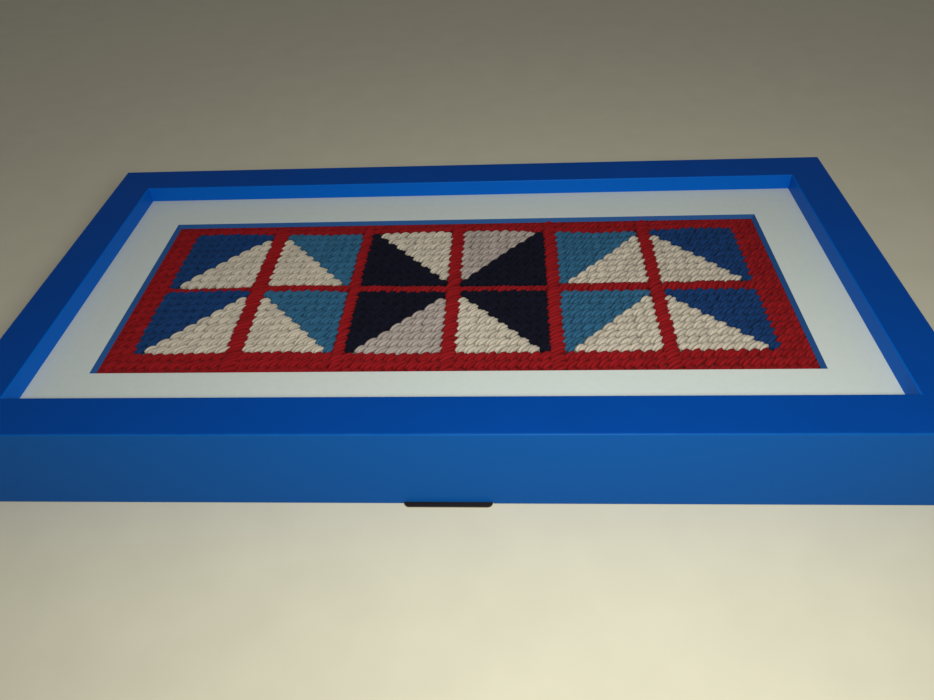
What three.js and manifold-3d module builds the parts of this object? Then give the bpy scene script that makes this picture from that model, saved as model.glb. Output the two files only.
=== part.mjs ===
// A needlepoint picture in a deep, blue painted box frame, lying on its back.
//
// Millimetres, +Z up. The frame's back lies on the plane z = 0 and the picture
// faces up. +X runs along the long side, and -Y is the near long side, which
// carries the hanger plate. The origin is the centre of the underside of the
// whole, so the frame itself sits half of what the plate stands out further back.

import * as THREE from 'three';
import * as BufferGeometryUtils from 'three/addons/utils/BufferGeometryUtils.js';
import Module from 'manifold-3d';

const wasm = await Module();
wasm.setup();

// Clearance kept between any two pieces that touch in the real thing.
const GAP = 0.3;

// The frame: what shows of the mat, and the section of the moulding.
const SIGHT_LENGTH = 381.2;
const SIGHT_WIDTH = 175.0;
const FRAME_FACE = 21.1;
const FRAME_DEPTH = 45.6;
const LIP_HEIGHT = 8.8;
const REBATE_WIDTH = 6.4;
const OUTER_ROUND = 0.8;
const INNER_ROUND = 0.8;
const BACK_ROUND = 0.5;
const ROUND_STEPS = 5;

// The mat: its board, the window at the top edge of the bevel, and how far off centre it was cut.
const MAT_THICKNESS = 1.8;
const WINDOW_LENGTH = 330.0;
const WINDOW_WIDTH = 124.3;
const WINDOW_SHIFT = [-0.5, -1.7];
const REBATE_PLAY = 0.6;

// The needlepoint: a canvas of five holes to the inch, worked in thick wool.
const STITCH_PITCH = 25.4 / 5;
const STITCH_COLUMNS = 65;
const STITCH_ROWS = 25;
const CANVAS_MARGIN = 16.0;
const CANVAS_THICKNESS = 1.0;
const WOOL_THICKNESS = 1.9;
const ROW_GROOVE = 0.7;
const WAVE_HEIGHT = 0.2;
const WAVE_LENGTH = 61.0;
const WAVE_STEPS = 26;

// The board behind the needlepoint, and the bent clips that hold it.
const BOARD_THICKNESS = 3.0;
const CLIP_THICKNESS = 1.0;
const CLIP_LEG = 12.0;
const CLIP_FOOT = 11.0;
const CLIP_WIDTH = 14.0;
const CLIP_SPREAD = 0.5;

// The hanger plate, let into the back of the near rail.
const PLATE_LENGTH = 38.8;
const PLATE_PROUD = 2.0;
const PLATE_INSET = 9.0;
const PLATE_THICKNESS = 0.8;
const PLATE_LIFT = 0.2;
const PLATE_CORNER = 2.4;

// Levels above the surface, worked out from the sizes.
const FRAME_WIDTH = SIGHT_WIDTH + 2 * FRAME_FACE;
const MAT_TOP = FRAME_DEPTH - LIP_HEIGHT;
const MAT_BOTTOM = MAT_TOP - MAT_THICKNESS;
const WOOL_TOP = MAT_BOTTOM - GAP;
const CANVAS_TOP = WOOL_TOP - WOOL_THICKNESS;
const CANVAS_BOTTOM = CANVAS_TOP - CANVAS_THICKNESS;
const BOARD_TOP = CANVAS_BOTTOM - GAP;
const BOARD_BOTTOM = BOARD_TOP - BOARD_THICKNESS;
const REBATE_LENGTH = SIGHT_LENGTH + 2 * REBATE_WIDTH;
const REBATE_BREADTH = SIGHT_WIDTH + 2 * REBATE_WIDTH;

const FINISH = {
  bluePaint: { color: 0x1a4f9c, roughness: 0.45, metalness: 0.0 },
  matBoard: { color: 0xd6d5c6, roughness: 0.9, metalness: 0.0 },
  wool: { color: 0x9c2a2c, roughness: 0.95, metalness: 0.0 },
  hardboard: { color: 0x7a5a3c, roughness: 0.8, metalness: 0.0 },
  brightSteel: { color: 0xa7a9ac, roughness: 0.4, metalness: 0.9 },
  darkSteel: { color: 0x2a211c, roughness: 0.5, metalness: 0.6 },
};

const group = new THREE.Group();
const picture = new THREE.Group();
picture.position.y = PLATE_PROUD / 2;
group.add(picture);

/** Adds a piece to the picture, with its node name and finish. */
function addPiece(name, geometry, finish) {
  const mesh = new THREE.Mesh(geometry, new THREE.MeshStandardMaterial(finish));
  mesh.name = name;
  picture.add(mesh);
}

/** Only positions, with shared corners merged, as a boolean needs them. */
function weld(geometry) {
  const bare = geometry.clone();
  bare.deleteAttribute('normal');
  bare.deleteAttribute('uv');
  return BufferGeometryUtils.mergeVertices(bare, 1e-4);
}

/** The closed geometry as a manifold solid. */
function toSolid(geometry) {
  const welded = weld(geometry);
  const vertProperties = new Float32Array(welded.attributes.position.array);
  const triVerts = new Uint32Array(welded.index.array);
  return new wasm.Manifold(new wasm.Mesh({ numProp: 3, vertProperties, triVerts }));
}

/** The geometry of a manifold solid. */
function toGeometry(solid) {
  const { vertProperties, triVerts } = solid.getMesh();
  const geometry = new THREE.BufferGeometry();
  geometry.setAttribute('position', new THREE.BufferAttribute(vertProperties, 3));
  geometry.setIndex(new THREE.BufferAttribute(triVerts, 1));
  geometry.computeVertexNormals();
  return geometry;
}

/** A box from its two opposite corners. */
function boxBetween(low, high) {
  const geometry = new THREE.BoxGeometry(high[0] - low[0], high[1] - low[1], high[2] - low[2]);
  return geometry.translate((low[0] + high[0]) / 2, (low[1] + high[1]) / 2, (low[2] + high[2]) / 2);
}

/**
 * The section of the moulding. The first coordinate runs outward from the
 * sight edge and the second runs up from the frame's back.
 */
function mouldingSection() {
  const shoulder = MAT_TOP + GAP;
  const section = new THREE.Shape();
  section.moveTo(REBATE_WIDTH, 0);
  section.lineTo(FRAME_FACE - BACK_ROUND, 0);
  section.absarc(FRAME_FACE - BACK_ROUND, BACK_ROUND, BACK_ROUND, -Math.PI / 2, 0, false);
  section.lineTo(FRAME_FACE, FRAME_DEPTH - OUTER_ROUND);
  section.absarc(FRAME_FACE - OUTER_ROUND, FRAME_DEPTH - OUTER_ROUND, OUTER_ROUND, 0, Math.PI / 2, false);
  section.lineTo(INNER_ROUND, FRAME_DEPTH);
  section.absarc(INNER_ROUND, FRAME_DEPTH - INNER_ROUND, INNER_ROUND, Math.PI / 2, Math.PI, false);
  section.lineTo(0, shoulder);
  section.lineTo(REBATE_WIDTH, shoulder);
  section.closePath();
  return section;
}

/**
 * A rail with mitred ends, on the side of the frame that `turn` gives.
 * A point of the section that is further out lies on a longer line, so
 * each end is cut at 45 degrees, less half the joint's clearance.
 */
function rail(sightLength, sightAcross, turn) {
  const geometry = new THREE.ExtrudeGeometry(mouldingSection(), {
    depth: 1, bevelEnabled: false, curveSegments: ROUND_STEPS,
  });
  const trim = GAP / Math.SQRT2;
  const place = geometry.attributes.position;
  for (let i = 0; i < place.count; i++) {
    const outward = place.getX(i);
    const up = place.getY(i);
    const side = place.getZ(i) > 0.5 ? -1 : 1;
    const along = side * (sightLength / 2 + outward - trim);
    place.setXYZ(i, along, -(sightAcross / 2 + outward), up);
  }
  geometry.computeVertexNormals();
  return geometry.rotateZ(turn);
}

/** The outline of the hanger plate, seen from above, with its two outer corners rounded. */
function plateOutline(length, inner, outer, corner) {
  const half = length / 2;
  const outline = new THREE.Shape();
  outline.moveTo(half, inner);
  outline.lineTo(-half, inner);
  outline.lineTo(-half, outer + corner);
  outline.absarc(-half + corner, outer + corner, corner, Math.PI, 1.5 * Math.PI, false);
  outline.lineTo(half - corner, outer);
  outline.absarc(half - corner, outer + corner, corner, 1.5 * Math.PI, 2 * Math.PI, false);
  outline.closePath();
  return outline;
}

function addFrame() {
  const outerFace = -FRAME_WIDTH / 2;
  const recess = toSolid(boxBetween(
    [-PLATE_LENGTH / 2 - GAP, outerFace - 1, -1],
    [PLATE_LENGTH / 2 + GAP, outerFace + PLATE_INSET + GAP, PLATE_LIFT + PLATE_THICKNESS + GAP],
  ));
  const nearRail = toSolid(rail(SIGHT_LENGTH, SIGHT_WIDTH, 0)).subtract(recess);
  addPiece('rail_near', toGeometry(nearRail), FINISH.bluePaint);
  addPiece('rail_right', rail(SIGHT_WIDTH, SIGHT_LENGTH, Math.PI / 2), FINISH.bluePaint);
  addPiece('rail_far', rail(SIGHT_LENGTH, SIGHT_WIDTH, Math.PI), FINISH.bluePaint);
  addPiece('rail_left', rail(SIGHT_WIDTH, SIGHT_LENGTH, -Math.PI / 2), FINISH.bluePaint);
}

/** A rectangle round a centre, run round counter-clockwise. */
function rectangle(target, length, width, [x, y]) {
  target.moveTo(x - length / 2, y - width / 2);
  target.lineTo(x + length / 2, y - width / 2);
  target.lineTo(x + length / 2, y + width / 2);
  target.lineTo(x - length / 2, y + width / 2);
  target.closePath();
  return target;
}

/**
 * The mat: one board whose window is cut with a 45 degree bevel, so the
 * window is narrower at the board's lower side by the board's thickness.
 */
function addMat() {
  const board = new THREE.Shape();
  rectangle(board, REBATE_LENGTH - 2 * REBATE_PLAY, REBATE_BREADTH - 2 * REBATE_PLAY, [0, 0]);
  board.holes.push(rectangle(new THREE.Path(), WINDOW_LENGTH, WINDOW_WIDTH, WINDOW_SHIFT));
  const geometry = new THREE.ExtrudeGeometry(board, { depth: MAT_THICKNESS, bevelEnabled: false });
  const place = geometry.attributes.position;
  for (let i = 0; i < place.count; i++) {
    const onWindow = Math.abs(place.getX(i)) < WINDOW_LENGTH / 2 + 1;
    if (onWindow && place.getZ(i) < MAT_THICKNESS / 2) {
      place.setX(i, place.getX(i) - Math.sign(place.getX(i)) * MAT_THICKNESS);
      place.setY(i, place.getY(i) - Math.sign(place.getY(i)) * MAT_THICKNESS);
    }
  }
  geometry.computeVertexNormals();
  addPiece('mat', geometry.translate(0, 0, MAT_BOTTOM), FINISH.matBoard);
}

/** How far the wool's surface sinks at a place, from its slow unevenness. */
function woolSag(x, y) {
  const along = Math.sin((2 * Math.PI * x) / WAVE_LENGTH);
  const across = Math.cos((2 * Math.PI * (y + 0.3 * x)) / WAVE_LENGTH);
  return WAVE_HEIGHT * (0.5 + 0.5 * along * across);
}

/**
 * The needlepoint: one sheet, whose wool lies in rows with a groove between
 * each two. The top is a grid of points, and the sides and the underside of
 * the wool close it below. The bare canvas round it is joined on.
 */
function addNeedlepoint() {
  const length = STITCH_COLUMNS * STITCH_PITCH;
  const width = STITCH_ROWS * STITCH_PITCH;
  const wool = new THREE.BoxGeometry(length, width, WOOL_THICKNESS, WAVE_STEPS, 2 * STITCH_ROWS, 1);
  wool.translate(0, 0, CANVAS_TOP + WOOL_THICKNESS / 2);
  const place = wool.attributes.position;
  for (let i = 0; i < place.count; i++) {
    if (place.getZ(i) > CANVAS_TOP + WOOL_THICKNESS / 2) {
      const x = place.getX(i);
      const y = place.getY(i);
      const halfRow = Math.round((y + width / 2) / (STITCH_PITCH / 2));
      const groove = halfRow % 2 === 0 ? ROW_GROOVE : 0;
      place.setZ(i, WOOL_TOP - groove - woolSag(x, y));
    }
  }
  const canvas = boxBetween(
    [-length / 2 - CANVAS_MARGIN, -width / 2 - CANVAS_MARGIN, CANVAS_BOTTOM],
    [length / 2 + CANVAS_MARGIN, width / 2 + CANVAS_MARGIN, CANVAS_TOP],
  );
  addPiece('needlepoint', toGeometry(toSolid(wool).add(toSolid(canvas))), FINISH.wool);
}

function addBackingBoard() {
  const halfLength = REBATE_LENGTH / 2 - REBATE_PLAY;
  const halfWidth = REBATE_BREADTH / 2 - REBATE_PLAY;
  const board = boxBetween([-halfLength, -halfWidth, BOARD_BOTTOM], [halfLength, halfWidth, BOARD_TOP]);
  addPiece('backing_board', board, FINISH.hardboard);
}

/** A bent clip: its leg lies on the rebate's wall and its foot under the board. */
function clip(wallDistance, place, turn) {
  const top = BOARD_BOTTOM - GAP;
  const leg = new THREE.Shape();
  leg.moveTo(0, top);
  leg.lineTo(0, top - CLIP_LEG);
  leg.lineTo(CLIP_THICKNESS, top - CLIP_LEG);
  leg.lineTo(CLIP_THICKNESS, top - CLIP_THICKNESS);
  leg.lineTo(CLIP_FOOT, top - CLIP_THICKNESS);
  leg.lineTo(CLIP_FOOT, top);
  leg.closePath();
  const geometry = new THREE.ExtrudeGeometry(leg, { depth: CLIP_WIDTH, bevelEnabled: false });
  geometry.translate(0, 0, -CLIP_WIDTH / 2);
  geometry.rotateX(Math.PI / 2);
  geometry.translate(-wallDistance + GAP, place, 0);
  return geometry.rotateZ(turn);
}

function addClips() {
  const sides = [
    { name: 'left', wall: REBATE_LENGTH / 2, run: REBATE_BREADTH, turn: 0 },
    { name: 'near', wall: REBATE_BREADTH / 2, run: REBATE_LENGTH, turn: Math.PI / 2 },
    { name: 'right', wall: REBATE_LENGTH / 2, run: REBATE_BREADTH, turn: Math.PI },
    { name: 'far', wall: REBATE_BREADTH / 2, run: REBATE_LENGTH, turn: -Math.PI / 2 },
  ];
  for (const side of sides) {
    for (const [end, sign] of [['a', -1], ['b', 1]]) {
      const place = (sign * side.run * CLIP_SPREAD) / 2;
      addPiece(`clip_${side.name}_${end}`, clip(side.wall, place, side.turn), FINISH.brightSteel);
    }
  }
}

function addHangerPlate() {
  const outerFace = -FRAME_WIDTH / 2;
  const outline = plateOutline(PLATE_LENGTH, outerFace + PLATE_INSET, outerFace - PLATE_PROUD, PLATE_CORNER);
  const geometry = new THREE.ExtrudeGeometry(outline, {
    depth: PLATE_THICKNESS, bevelEnabled: false, curveSegments: ROUND_STEPS,
  });
  addPiece('hanger_plate', geometry.translate(0, 0, PLATE_LIFT), FINISH.darkSteel);
}

addFrame();
addMat();
addNeedlepoint();
addBackingBoard();
addClips();
addHangerPlate();

export default group;
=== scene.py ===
"""Dresses a needlepoint picture, framed in a deep blue box frame, at its real size."""

import logging
import math
from dataclasses import dataclass
from enum import Enum, IntEnum
from typing import Any

import bpy
from mathutils import Matrix, Vector, noise


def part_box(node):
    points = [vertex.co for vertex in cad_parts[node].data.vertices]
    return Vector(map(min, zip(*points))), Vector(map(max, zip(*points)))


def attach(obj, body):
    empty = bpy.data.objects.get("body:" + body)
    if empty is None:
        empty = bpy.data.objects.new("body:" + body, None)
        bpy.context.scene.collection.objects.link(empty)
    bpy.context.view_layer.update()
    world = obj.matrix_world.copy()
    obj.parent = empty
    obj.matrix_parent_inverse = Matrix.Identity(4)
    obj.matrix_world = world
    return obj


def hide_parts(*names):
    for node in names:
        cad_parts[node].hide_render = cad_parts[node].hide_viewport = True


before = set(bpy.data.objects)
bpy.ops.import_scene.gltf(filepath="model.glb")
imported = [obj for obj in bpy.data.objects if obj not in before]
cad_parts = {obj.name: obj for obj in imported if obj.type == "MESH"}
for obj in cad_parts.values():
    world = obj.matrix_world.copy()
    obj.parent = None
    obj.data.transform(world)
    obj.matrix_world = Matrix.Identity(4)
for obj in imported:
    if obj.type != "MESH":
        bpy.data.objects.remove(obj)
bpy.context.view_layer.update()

log = logging.getLogger("needlepoint")

MM = 0.001
CANVAS_PITCH = 25.4 / 5 * MM
BODY = "root"

# The corners of a square, counter-clockwise from the near left one.
CORNERS = ((-1, -1), (1, -1), (1, 1), (-1, 1))

# What the point of a stitch carries, each under its own name.
TRAITS = ("reach", "girth", "plump", "lean", "apart_x", "apart_y")

Colour = tuple[float, float, float]
Limits = tuple[float, float]
Socket = bpy.types.NodeSocket


class NodeGraph:
    """Adds and links the nodes of one tree."""

    def __init__(self, tree: bpy.types.NodeTree) -> None:
        """Keeps the tree that the nodes go into."""
        self.tree = tree

    def feed(self, socket: Socket, value: Any) -> None:
        """Links an input to another node's output, or sets it to a plain value.

        Args:
            socket: The input.
            value: The output's socket or the plain value.
        """
        if isinstance(value, Socket):
            self.tree.links.new(value, socket)
        else:
            socket.default_value = value

    def add(
        self, kind: str, inputs: dict[str | int, Any] | None = None, **settings: Any
    ) -> bpy.types.Node:
        """Adds a node.

        Args:
            kind: The node's type name.
            inputs: A value or a socket to link for each of its inputs, by name or place.
            settings: The node's own options.

        Returns:
            The new node.
        """
        node = self.tree.nodes.new(kind)
        for name, value in settings.items():
            setattr(node, name, value)
        for key, value in (inputs or {}).items():
            self.feed(node.inputs[key], value)
        return node

    def feed_enabled(self, node: bpy.types.Node, inputs: dict[str, Any]) -> None:
        """Feeds a node of which several inputs share a name, one for each data type.

        Args:
            node: The node, with its data type set.
            inputs: A value or a socket to link for each of its enabled inputs, by name.
        """
        for name, value in inputs.items():
            self.feed(next(each for each in node.inputs if each.enabled and each.name == name), value)

    def math(self, operation: str, *values: Any) -> Socket:
        """Adds a math node.

        Args:
            operation: The sum to do, by Blender's name for it.
            values: Its numbers or sockets, in order.

        Returns:
            The result's socket.
        """
        return self.add("ShaderNodeMath", dict(enumerate(values)), operation=operation).outputs[0]

    def blend(self, share: float, first: Socket, second: Socket) -> Socket:
        """Adds up two values by their shares.

        Args:
            share: The second one's share. The first one has the rest.
            first: A value.
            second: A value.

        Returns:
            The sum's socket.
        """
        rest = self.math("MULTIPLY", first, 1.0 - share)
        return self.math("ADD", rest, self.math("MULTIPLY", second, share))

    def parts(self, vector: Socket) -> tuple[Socket, Socket, Socket]:
        """Takes a vector apart into its x, y and z."""
        x, y, z = self.add("ShaderNodeSeparateXYZ", {0: vector}).outputs
        return x, y, z

    def join(self, x: Any = 0.0, y: Any = 0.0, z: Any = 0.0) -> Socket:
        """Makes a vector of three numbers or sockets."""
        return self.add("ShaderNodeCombineXYZ", {0: x, 1: y, 2: z}).outputs[0]

    def ramp(self, value: Socket, low: float, high: float, smooth: bool = True) -> Socket:
        """Turns a value between two limits into 0 to 1.

        Args:
            value: The socket to read.
            low: Where the result is 0.
            high: Where the result is 1.
            smooth: Whether it eases in and out.

        Returns:
            The result's socket.
        """
        kind = "SMOOTHSTEP" if smooth else "LINEAR"
        node = self.add("ShaderNodeMapRange", {0: value, 1: low, 2: high}, interpolation_type=kind)
        return node.outputs[0]

    def mix(self, share: Any, first: Any, second: Any) -> Socket:
        """Mixes two colours.

        Args:
            share: How much of the second one shows.
            first: A colour or a socket.
            second: A colour or a socket.

        Returns:
            The mixed colour's socket.
        """
        inputs = {0: share}
        for place, colour in ((6, first), (7, second)):
            inputs[place] = colour if isinstance(colour, Socket) else (*colour, 1.0)
        return self.add("ShaderNodeMix", inputs, data_type="RGBA").outputs[2]

    def noise(self, place: Socket, scale: float, detail: float = 3.0) -> Socket:
        """Adds cloudy noise from 0 to 1.

        Args:
            place: The coordinates that it follows.
            scale: Its swells to the metre.
            detail: How many finer layers it has.

        Returns:
            The noise value's socket.
        """
        inputs = {"Vector": place, "Scale": scale, "Detail": detail}
        return self.add("ShaderNodeTexNoise", inputs).outputs[0]

    def streaks(self, place: Socket, scales: tuple[float, float, float]) -> Socket:
        """Adds noise that is drawn out along some of the axes.

        Args:
            place: The coordinates that it follows.
            scales: Its swells to the metre along x, y and z.

        Returns:
            The noise value's socket.
        """
        drawn = self.add("ShaderNodeMapping", {"Vector": place, "Scale": scales}).outputs[0]
        return self.noise(drawn, 1.0, detail=4.0)


@dataclass(frozen=True)
class Finish:
    """A matt, faintly cloudy surface, made as a node material on Object coordinates.

    Its tones are its colour's darkest and lightest factors, its cloud and its grain are in
    swells to the metre, and its relief is a height.
    """

    name: str
    colour: Colour
    roughness: float
    tones: Limits = (0.94, 1.05)
    cloud: float = 40.0
    grain: float = 1500.0
    relief: float = 0.02 * MM

    def shades(self, graph: NodeGraph, place: Socket) -> tuple[Socket, Socket]:
        """Builds the colour and the relief.

        Args:
            graph: The material's nodes.
            place: The Object coordinates.

        Returns:
            The colour's socket and the height's.
        """
        colour = self.toned(graph, graph.noise(place, self.cloud), self.tones)
        return colour, graph.noise(place, self.grain)

    def gloss(self) -> dict[str, float]:
        """The shader's own inputs, where the finish has more than a roughness."""
        return {}

    def tint(self, factor: float) -> Colour:
        """The finish's colour, lighter or darker by a factor."""
        red, green, blue = self.colour
        return (red * factor, green * factor, blue * factor)

    def toned(self, graph: NodeGraph, share: Socket, tones: Limits) -> Socket:
        """Mixes a dark and a light tone of the finish's colour.

        Args:
            graph: The material's nodes.
            share: How much of the light tone shows.
            tones: The factors of the dark tone and the light one.

        Returns:
            The colour's socket.
        """
        return graph.mix(share, self.tint(tones[0]), self.tint(tones[1]))

    def material(self) -> bpy.types.Material:
        """Makes the material.

        Returns:
            The material, ready to go into a slot.
        """
        material = bpy.data.materials.new(self.name)
        material.use_nodes = True
        material.node_tree.nodes.clear()
        graph = NodeGraph(material.node_tree)
        colour, height = self.shades(graph, graph.add("ShaderNodeTexCoord").outputs["Object"])
        relief = {"Height": height, "Distance": self.relief, "Strength": 1.0}
        bump = graph.add("ShaderNodeBump", relief).outputs[0]
        inputs = {"Base Color": colour, "Roughness": self.roughness, "Normal": bump, **self.gloss()}
        shader = graph.add("ShaderNodeBsdfPrincipled", inputs).outputs[0]
        graph.add("ShaderNodeOutputMaterial", {"Surface": shader})
        material.diffuse_color = (*self.colour, 1.0)
        return material


@dataclass(frozen=True, kw_only=True)
class SatinPaint(Finish):
    """Satin paint on smooth wood, with painted light on the lip's inner walls and the outer sides,
    and a painted highlight with paint wear at the arris.

    The sight, the middle, the face and the depth are the moulding's own. The edges of the
    lip, the flank and the arris are the distances from the rail's inner or outer side between
    which the tone changes.
    """

    sight: Limits
    centre_y: float
    face: float
    depth: float
    name: str = "blue_paint"
    colour: Colour = (0.001, 0.060, 0.335)
    roughness: float = 0.4
    specular: float = 0.06
    tones: Limits = (0.90, 1.08)
    cloud: float = 22.0
    relief: float = 0.03 * MM
    brushing: tuple[float, float, float] = (160.0, 160.0, 900.0)
    # Painted light: the lip's inner walls are lighter, standing in for light bounced off the mat.
    lip: Colour = (0.0015, 0.125, 0.58)
    lip_edge: Limits = (0.14 * MM, 0.7 * MM)
    # Painted light: the outer sides are lighter, for how the lamps fall on them.
    flank: Colour = (0.003, 0.096, 0.39)
    flank_edge: Limits = (0.7 * MM, 0.07 * MM)
    # Painted highlight along the arris, in patches like paint wear.
    arris: Colour = (0.01, 0.13, 0.45)
    arris_edge: Limits = (1.6 * MM, 0.32 * MM)
    arris_highlight_share: float = 0.25
    patch: float = 90.0
    patch_contrast: Limits = (0.2, 0.7)

    def arris_highlight_and_wear(self, graph: NodeGraph, place: Socket, outward: Socket, height: Socket) -> Socket:
        """Finds where the arris gets its painted highlight and paint wear, in patches.

        Args:
            graph: The material's nodes.
            place: The Object coordinates.
            outward: How far beyond the sight opening it is.
            height: How high it is.

        Returns:
            The socket of how much painted highlight and paint wear it gets.
        """
        start, end = self.arris_edge
        side = graph.ramp(outward, self.face - start, self.face - end)
        top = graph.ramp(height, self.depth - start, self.depth - end)
        patchy = graph.ramp(graph.noise(place, self.patch), *self.patch_contrast)
        # Painted highlight and paint wear along the arris, in patches.
        lit_and_rubbed = graph.math("MULTIPLY", graph.math("MULTIPLY", side, top), patchy)
        return graph.math("MULTIPLY", lit_and_rubbed, self.arris_highlight_share)

    def shades(self, graph: NodeGraph, place: Socket) -> tuple[Socket, Socket]:
        """Builds the cloudy paint, its painted light on the lip and the flank, its painted highlight
        and paint wear at the arris, and its faint brushing.

        Args:
            graph: The material's nodes.
            place: The Object coordinates.

        Returns:
            The colour's socket and the height's.
        """
        x, y, height = graph.parts(place)
        beyond_x = graph.math("SUBTRACT", graph.math("ABSOLUTE", x), self.sight[0])
        centred = graph.math("SUBTRACT", y, self.centre_y)
        beyond_y = graph.math("SUBTRACT", graph.math("ABSOLUTE", centred), self.sight[1])
        outward = graph.math("MAXIMUM", beyond_x, beyond_y)
        paint = self.toned(graph, graph.noise(place, self.cloud), self.tones)
        # Painted light on the lip's inner walls.
        paint = graph.mix(graph.ramp(outward, *self.lip_edge), self.lip, paint)
        # Painted light on the outer sides.
        start, end = self.flank_edge
        paint = graph.mix(graph.ramp(outward, self.face - start, self.face - end), paint, self.flank)
        # Painted highlight and paint wear at the arris.
        colour = graph.mix(self.arris_highlight_and_wear(graph, place, outward, height), paint, self.arris)
        return colour, graph.streaks(place, self.brushing)

    def gloss(self) -> dict[str, float]:
        """The satin sheen of the dried paint."""
        return {"Specular IOR Level": self.specular}


@dataclass(frozen=True)
class MatBoard(Finish):
    """The mat's facing paper, softly fibrous and a little uneven in tone."""

    name: str = "mat_paper"
    colour: Colour = (0.68, 0.72, 0.68)
    roughness: float = 0.9
    tones: Limits = (0.965, 1.02)
    contrast: Limits = (0.3, 0.7)
    cloud: float = 9.0
    mottle: float = 300.0
    grain: float = 2600.0
    relief: float = 0.04 * MM

    def shades(self, graph: NodeGraph, place: Socket) -> tuple[Socket, Socket]:
        """Builds the paper's mottling and its tooth.

        Args:
            graph: The material's nodes.
            place: The Object coordinates.

        Returns:
            The colour's socket and the height's.
        """
        mottle = graph.noise(place, self.mottle, detail=5.0)
        tone = graph.blend(0.5, mottle, graph.noise(place, self.cloud))
        colour = self.toned(graph, graph.ramp(tone, *self.contrast), self.tones)
        return colour, graph.noise(place, self.grain, detail=6.0)


@dataclass(frozen=True)
class Wool(Finish):
    """Thick plied wool, which reads each strand's own yarn coordinates.

    A strand has painted shade in the grooves between its plies, towards its ends, where it goes down
    into the canvas, and on its flanks, where its neighbours shade it. The limits of the end
    and the flank are where the painted shade starts and where it is darkest, as shares of the way
    from its middle.
    """

    roughness: float = 0.95
    tones: Limits = (0.74, 1.16)
    contrast: Limits = (0.15, 0.85)
    grain: float = 2200.0
    grain_share: float = 0.45
    relief: float = 0.25 * MM
    plies: int = 4
    turns: float = 0.3
    # Painted shade in the grooves between the plies.
    groove_tones: Limits = (0.62, 1.0)
    groove_contrast: Limits = (0.15, 0.75)
    groove_share: float = 0.35
    # Painted shade towards the ends and on the flanks of each strand.
    end: Limits = (0.5, 1.0)
    end_shade_share: float = 0.6
    flank: Limits = (0.45, 0.95)
    painted_shade_tone: float = 0.25
    painted_shade_share: float = 0.58
    specular: float = 0.02
    sheen: float = 0.02
    sheen_roughness: float = 0.5

    def plied(self, graph: NodeGraph, along: Socket, raised: Socket, aside: Socket) -> Socket:
        """Builds the plies' twist.

        Args:
            graph: The material's nodes.
            along: How far along the strand it is, from 0 to 1.
            raised: How far it is raised round the strand, from -1 to 1.
            aside: How far it is aside round the strand, from -1 to 1.

        Returns:
            The socket of the plies' height, from 0 in a groove to 1.
        """
        around = graph.math("ARCTAN2", raised, aside)
        twist = graph.math("MULTIPLY", along, self.turns * self.plies * math.tau)
        phase = graph.math("ADD", graph.math("MULTIPLY", around, float(self.plies)), twist)
        return graph.math("MULTIPLY_ADD", graph.math("SINE", phase), 0.5, 0.5)

    def shades(self, graph: NodeGraph, place: Socket) -> tuple[Socket, Socket]:
        """Builds the plies, loose fibres, the tone of each strand, and its painted shade in the ply
        grooves, at its ends and on its flanks.

        Args:
            graph: The material's nodes.
            place: The Object coordinates.

        Returns:
            The colour's socket and the height's.
        """
        yarn = graph.add("ShaderNodeAttribute", attribute_name="yarn").outputs["Vector"]
        tone = graph.add("ShaderNodeAttribute", attribute_name="tone").outputs["Fac"]
        along, raised, aside = graph.parts(yarn)
        fibre = graph.noise(place, self.grain, detail=5.0)
        relief = graph.blend(0.5, self.plied(graph, along, raised, aside), fibre)
        shade = graph.ramp(graph.blend(self.grain_share, tone, fibre), *self.contrast, smooth=False)
        lit = self.toned(graph, shade, self.tones)
        # Painted shade in the ply grooves.
        groove_shade = self.toned(graph, graph.ramp(relief, *self.groove_contrast), self.groove_tones)
        # Painted shade towards the ends, where the strands go into the canvas, and on the flanks,
        # beside their neighbours.
        reach = graph.math("ABSOLUTE", graph.math("MULTIPLY_ADD", along, 2.0, -1.0))
        end = graph.math("MULTIPLY", graph.ramp(reach, *self.end), self.end_shade_share)
        flank = graph.ramp(graph.math("ABSOLUTE", aside), *self.flank)
        painted_shade = graph.math("MULTIPLY", graph.math("MAXIMUM", end, flank), self.painted_shade_share)
        wool = graph.mix(self.groove_share, lit, groove_shade)
        return graph.mix(painted_shade, wool, self.tint(self.painted_shade_tone)), relief

    def gloss(self) -> dict[str, float]:
        """The soft sheen of wool fibres."""
        sheen = {"Sheen Weight": self.sheen, "Sheen Roughness": self.sheen_roughness}
        return {"Specular IOR Level": self.specular, **sheen}


@dataclass(frozen=True)
class Canvas(Finish):
    """Stiff canvas, coloured darker than bare canvas as painted shade where it shows between the
    stitches, and near black as painted shade in the holes between its crossing threads.
    """

    name: str = "canvas_thread"
    # Darker than bare canvas: painted shade where it shows between the stitches.
    colour: Colour = (0.22, 0.17, 0.11)
    roughness: float = 0.9
    tones: Limits = (0.15, 1.0)
    pitch: float = CANVAS_PITCH
    # Painted shade in the holes between the threads.
    hole_shade: Limits = (-0.55, -0.1)
    relief: float = 0.4 * MM

    def shades(self, graph: NodeGraph, place: Socket) -> tuple[Socket, Socket]:
        """Builds the crossing threads and the painted shade in the holes between them.

        Args:
            graph: The material's nodes.
            place: The Object coordinates.

        Returns:
            The colour's socket and the height's.
        """
        x, y, _ = graph.parts(place)
        turns = [graph.math("MULTIPLY", part, math.tau / self.pitch) for part in (x, y)]
        threads = graph.math("MAXIMUM", *(graph.math("COSINE", turn) for turn in turns))
        return self.toned(graph, graph.ramp(threads, *self.hole_shade), self.tones), threads


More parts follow.
